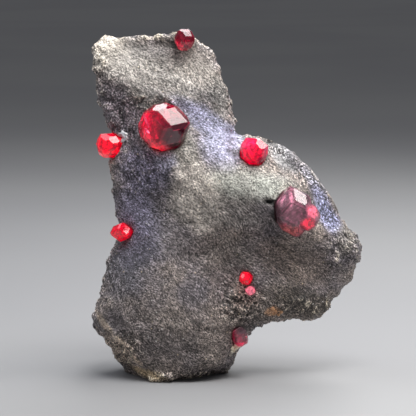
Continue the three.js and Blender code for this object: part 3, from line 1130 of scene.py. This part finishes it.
@dataclass
class Garnet:
    """One packed crystal, with what is sealed in it."""

    node: str
    clarity: Clarity
    clouds: tuple[Cloud, ...]
    veils: int
    seed: int
    lean: tuple[float, float, float] = (0.0, -0.2, 0.0)  # where the veils gather, in half sizes
    ground: Zone = Zone.WINE
    skin: float = 0.14  # thickness of the clear skin over the core, in half sizes
    facets: tuple[float, float] = (0.5, 1.3)  # how bright the core's darkest and brightest facets are
    ridged: bool = False  # whether its edges catch the light

    DARK = (Zone.WINE, Zone.DUSK, Zone.NIGHT)  # the grounds of the dark kinds
    RIDGE_ANGLE = math.radians(9)  # flatter edges have no bright line
    RIDGE_RADIUS = 0.05 * MM
    RIDGE_LONG = 0.48  # half a bright line, in lengths of its edge
    VEIL_SPREAD = 0.42  # how far veils stray from where they gather, in half sizes
    VEIL_WIDE = (0.14, 0.34)
    VEIL_NARROW = (0.3, 0.8)  # the other way, in widths
    VEIL_THIN = 0.012

    def build(self) -> list[str]:
        """Dresses the crystal and seals its core and veils in it.

        Returns:
            The names of the pieces.
        """
        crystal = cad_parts[self.node]
        crystal.data.materials.clear()
        crystal.data.materials.append(shared(self.clarity))
        slot = "garnet_dark" if self.ground in self.DARK else "garnet_red"
        core = new_piece(self.node + "_core", self._core(), shared(CoreFinish))
        cracks = stamped(self.node + "_veils", self._veil_places(random.Random(self.seed)), self._lens)
        veils = new_piece(self.node + "_veils", cracks, shared(VeilFinish))
        names = [self.node, core.name, veils.name]
        if self.ridged:
            lines = stamped(self.node + "_ridges", self._ridge_places(), self._rod)
            names.append(new_piece(self.node + "_ridges", lines, shared(RidgeFinish)).name)
        return names

    def _extent(self) -> tuple[Vector, Vector]:
        """Gives the middle and the half sizes of the crystal's box."""
        low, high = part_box(self.node)
        return (low + high) / 2, (high - low) / 2

    def _ridge_places(self) -> list[Matrix]:
        """Gives the places of the bright lines just under the crystal's edges.

        Returns:
            One place for each.
        """
        middle, _ = self._extent()
        shape = welded(self.node)
        places = []
        for edge in shape.edges:
            if edge.calc_face_angle(0.0) < self.RIDGE_ANGLE:
                continue
            start, end = (vertex.co.lerp(middle, self.skin * 0.3) for vertex in edge.verts)
            along = end - start
            scale = Matrix.Diagonal((self.RIDGE_RADIUS, self.RIDGE_RADIUS,
                                     along.length * self.RIDGE_LONG, 1.0))
            facing = along.to_track_quat("Z", "Y").to_matrix().to_4x4()
            places.append(Matrix.Translation((start + end) / 2) @ facing @ scale)
        shape.free()
        return places

    @staticmethod
    def _rod(mesh: bmesh.types.BMesh, place: Matrix) -> None:
        """Adds one thin rod at its place and size."""
        bmesh.ops.create_cone(mesh, cap_ends=True, segments=4, radius1=1.0, radius2=1.0, depth=2.0,
                              matrix=place)

    def _core(self) -> bpy.types.Mesh:
        """Gives the crystal's own shape, set inwards and coloured by its clouds.

        Returns:
            The closed mesh, with its colours.
        """
        middle, half = self._extent()
        inner = welded(self.node)
        bmesh.ops.subdivide_edges(inner, edges=inner.edges, cuts=2, use_grid_fill=True)
        inner.normal_update()
        for vertex, set_in in [(v, v.co - v.normal * self.skin * min(half)) for v in inner.verts]:
            vertex.co = set_in
        mesh = mesh_of(self.node + "_core", inner)
        colours = []
        for face in mesh.polygons:
            facet = random.Random(str([round(n, 1) + 0.0 for n in face.normal])).uniform(*self.facets)
            for index in face.vertices:
                offset = mesh.vertices[index].co - middle
                colours.extend(self._coloured(Vector([o / h for o, h in zip(offset, half)]), facet))
        mesh.attributes.new("zone", "FLOAT_COLOR", "CORNER").data.foreach_set("color", colours)
        return mesh

    def _coloured(self, place: Vector, facet: float) -> list[float]:
        """Gives the core's colour and fullness at a point.

        Args:
            place: The point, in half sizes from the middle.
            facet: How bright the facet is.

        Returns:
            Red, green, blue and fullness.
        """
        colour, fullness = Vector(self.ground.value[0]), self.ground.value[1]
        for cloud in self.clouds:
            share = cloud.share(place)
            colour = colour.lerp(Vector(cloud.kind.value[0]), share)
            fullness += (cloud.kind.value[1] - fullness) * share
        return [*(colour * facet), fullness]

    def _veil_places(self, draw: random.Random) -> list[Matrix]:
        """Gives the places of the thin healed cracks.

        Args:
            draw: Where chance comes from.

        Returns:
            One place for each.
        """
        middle, half = self._extent()
        places = []
        for _ in range(self.veils):
            offset = [(draw.uniform(-self.VEIL_SPREAD, self.VEIL_SPREAD) + lean) * side
                      for lean, side in zip(self.lean, half)]
            turn = Quaternion([draw.gauss(0, 1) for _ in range(4)]).normalized()
            wide = draw.uniform(*self.VEIL_WIDE)
            size = [share * min(half) for share in
                    (wide, wide * draw.uniform(*self.VEIL_NARROW), self.VEIL_THIN)]
            places.append(Matrix.Translation(middle + Vector(offset)) @ turn.to_matrix().to_4x4()
                          @ Matrix.Diagonal((*size, 1.0)))
        return places

    @staticmethod
    def _lens(mesh: bmesh.types.BMesh, place: Matrix) -> None:
        """Adds one flat rounded body at its place and size."""
        bmesh.ops.create_icosphere(mesh, subdivisions=2, radius=1.0, matrix=place)


# The clouds paint light and shade into the cores: bright zones where a crystal looks lit, dark ones where it
# looks shaded.
GARNETS = (
    Garnet("top_garnet", Clarity.DEEP, (Cloud(Zone.FIRE, (-0.6, -0.4, -0.6), (0.5, 0.6, 0.6)),), 5, 11,
           facets=(0.3, 1.1)),
    Garnet("large_garnet", Clarity.DEEP, (
        Cloud(Zone.NIGHT, (0.65, -0.6, -0.35), (0.85, 1.1, 0.9)),
        Cloud(Zone.FIRE, (-0.75, -0.4, 0.0), (0.7, 0.9, 0.7)),
        Cloud(Zone.CORAL, (-0.25, -0.5, -0.9), (0.4, 0.8, 0.3))), 12, 21, (-0.4, -0.35, 0.0),
        facets=(0.55, 2.2), ridged=True),
    Garnet("left_edge_garnet", Clarity.BRIGHT, (), 6, 31, ground=Zone.CORAL, facets=(0.6, 1.2)),
    Garnet("left_lower_garnet", Clarity.BRIGHT, (), 5, 41, ground=Zone.CORAL, facets=(0.55, 1.0)),
    Garnet("right_upper_garnet", Clarity.BRIGHT, (
        Cloud(Zone.ROSE, (-0.5, -0.6, 0.6), (0.7, 2.0, 0.5)),
        Cloud(Zone.MAUVE, (1.0, -0.3, 0.1), (0.45, 2.0, 0.6)),
        Cloud(Zone.DUSK, (0.85, -0.5, -0.75), (0.75, 2.0, 0.65))), 7, 51, (-0.2, -0.3, 0.1), Zone.FIRE,
        facets=(0.5, 1.3)),
    Garnet("right_garnet_pair", Clarity.SMOKY, (
        Cloud(Zone.NIGHT, (-1.0, -0.2, -0.1), (0.45, 0.9, 0.9)),
        Cloud(Zone.MAUVE, (-0.4, -0.3, 0.6), (0.55, 2.0, 0.45)),
        Cloud(Zone.EMBER, (-0.35, -0.3, -0.75), (0.6, 0.9, 0.4)),
        Cloud(Zone.ROSE, (0.8, -0.8, 0.1), (0.4, 0.5, 0.3)),
        Cloud(Zone.CORAL, (0.45, -0.9, -0.4), (0.3, 0.5, 0.24))), 8, 61, (-0.1, -0.3, -0.2), Zone.DUSK,
        facets=(0.3, 1.9)),
    Garnet("small_upper_garnet", Clarity.BRIGHT, (), 4, 71, ground=Zone.CORAL, facets=(0.5, 1.25)),
    Garnet("small_lower_garnet", Clarity.SMOKY, (), 4, 81, ground=Zone.ROSE, facets=(0.8, 1.1)),
    Garnet("bottom_edge_garnet", Clarity.SMOKY, (
        Cloud(Zone.NIGHT, (0.2, -0.3, 0.8), (0.9, 2.0, 0.6)),
        Cloud(Zone.FIRE, (-0.1, -0.5, -0.8), (0.8, 2.0, 0.4))), 3, 91, ground=Zone.WINE,
        facets=(0.3, 1.0)),
)

QUARTZ = PaleMineralFinish("milky_quartz", paint(238, 236, 238), paint(196, 194, 200), 0.35, 0.12)
FELDSPAR = PaleMineralFinish("cream_feldspar", paint(248, 238, 218), paint(214, 196, 168), 0.0, 0.3)
TAN_QUARTZ = PaleMineralFinish("tan_quartz", paint(206, 158, 118), paint(168, 122, 88), 0.1, 0.3)


# ------------------------------------------------------------------ the studio


@dataclass(frozen=True)
class Softbox:
    """One soft area light."""

    name: str
    azimuth: float  # degrees, 0 is the camera's side, 90 is the right
    elevation: float
    distance: float
    size: float
    power: float
    colour: Colour = (1.0, 1.0, 1.0)

    def build(self, target: Vector) -> None:
        """Puts the light in the scene.

        Args:
            target: What it is aimed at.
        """
        light = bpy.data.lights.new(self.name, "AREA")
        light.shape = "DISK"
        light.size = self.size
        light.energy = self.power
        light.color = self.colour
        lamp = linked(self.name, light)
        turn, rise = math.radians(self.azimuth), math.radians(self.elevation)
        away = Vector((math.sin(turn) * math.cos(rise), -math.cos(turn) * math.cos(rise), math.sin(rise)))
        lamp.location = target + away * self.distance
        lamp.rotation_euler = (-away).to_track_quat("-Z", "Y").to_euler()


@dataclass
class Studio:
    """The floor, the lights and the camera."""

    elevation: float = 7.0
    distance: float = 0.7
    lens: float = 210.2
    aim: Vector = field(default_factory=lambda: Vector((-5.5 * MM, 0.0, 48.6 * MM)))
    floor_half: float = 3.0
    ambient: Colour = (0.20, 0.203, 0.215)
    lights: tuple[Softbox, ...] = (
        Softbox("key", 80, 57, 0.45, 0.4, 2.6, (1.0, 0.985, 0.96)),
        Softbox("front_top", 12, 64, 0.55, 0.26, 2.2),
        Softbox("top_back", 157, 46, 0.5, 0.36, 2.0),
        Softbox("left_top", -84, 58, 0.5, 0.4, 0.8, (0.84, 0.9, 1.0)),
    )

    def build(self) -> None:
        """Builds the studio."""
        self._camera()
        self._floor()
        for light in self.lights:
            light.build(self.aim)
        world = bpy.data.worlds.new("studio")
        world.use_nodes = True
        world.node_tree.nodes["Background"].inputs["Color"].default_value = (*self.ambient, 1.0)
        bpy.context.scene.world = world
        bpy.context.scene.view_settings.view_transform = "Standard"

    def _camera(self) -> None:
        """Makes the camera."""
        data = bpy.data.cameras.new("camera")
        data.lens = self.lens
        data.sensor_width = 36.0
        data.clip_start, data.clip_end = 0.01, 20.0
        camera = linked("camera", data)
        rise = math.radians(self.elevation)
        back = Vector((0, -math.cos(rise), math.sin(rise)))
        camera.location = self.aim + back * self.distance
        camera.rotation_euler = (-back).to_track_quat("-Z", "Y").to_euler()
        bpy.context.scene.camera = camera

    def _floor(self) -> None:
        """Makes the floor."""
        plane = bmesh.new()
        bmesh.ops.create_grid(plane, x_segments=1, y_segments=1, size=self.floor_half)
        floor = linked("floor", mesh_of("floor", plane))
        floor.data.materials.append(FloorFinish().material)


def main() -> None:
    """Builds the whole scene, piece by piece."""
    logging.basicConfig(level=logging.INFO, format="%(message)s")
    noise.seed_set(NOISE_SEED)
    Studio().build()
    LOG.info("studio built")

    crystals = tree_of([garnet.node for garnet in GARNETS])
    stone = Slab(crystals).build()
    LOG.info("%s: %d faces", stone.name, len(stone.data.polygons))
    flakes = MicaFlakes(stone, crystals).build()
    LOG.info("%s: %d faces", flakes.name, len(flakes.data.polygons))

    rough = bmesh.new()
    rough.from_mesh(stone.data)
    ground = BVHTree.FromBMesh(rough)
    rough.free()
    low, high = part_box("left_edge_garnet")
    beside = Vector((high.x + 0.4 * MM, 0, high.z - 0.6 * MM))
    for grains in (
        Grains("quartz_chip", QUARTZ, ground, beside, Vector((0.5, 0, 1.1)), 4, (1.8, 3.0), 5,
               Vector((0.5, 0.5, 1.2))),
        Grains("feldspar_grains", FELDSPAR, ground, spot(0.532, 0.10),
               Vector((1.2, 0, 1.8)), 30, (0.8, 1.8), 6),
        Grains("tan_quartz_grains", TAN_QUARTZ, ground, spot(0.665, 0.2), Vector((1.7, 0, 1.2)), 12,
               (0.7, 1.3), 8),
    ):
        LOG.info("%s: %d faces", grains.name, len(grains.build().data.polygons))

    for garnet in GARNETS:
        LOG.info("garnet: %s", ", ".join(garnet.build()))

    bpy.context.view_layer.update()


if __name__ == "__main__":
    main()
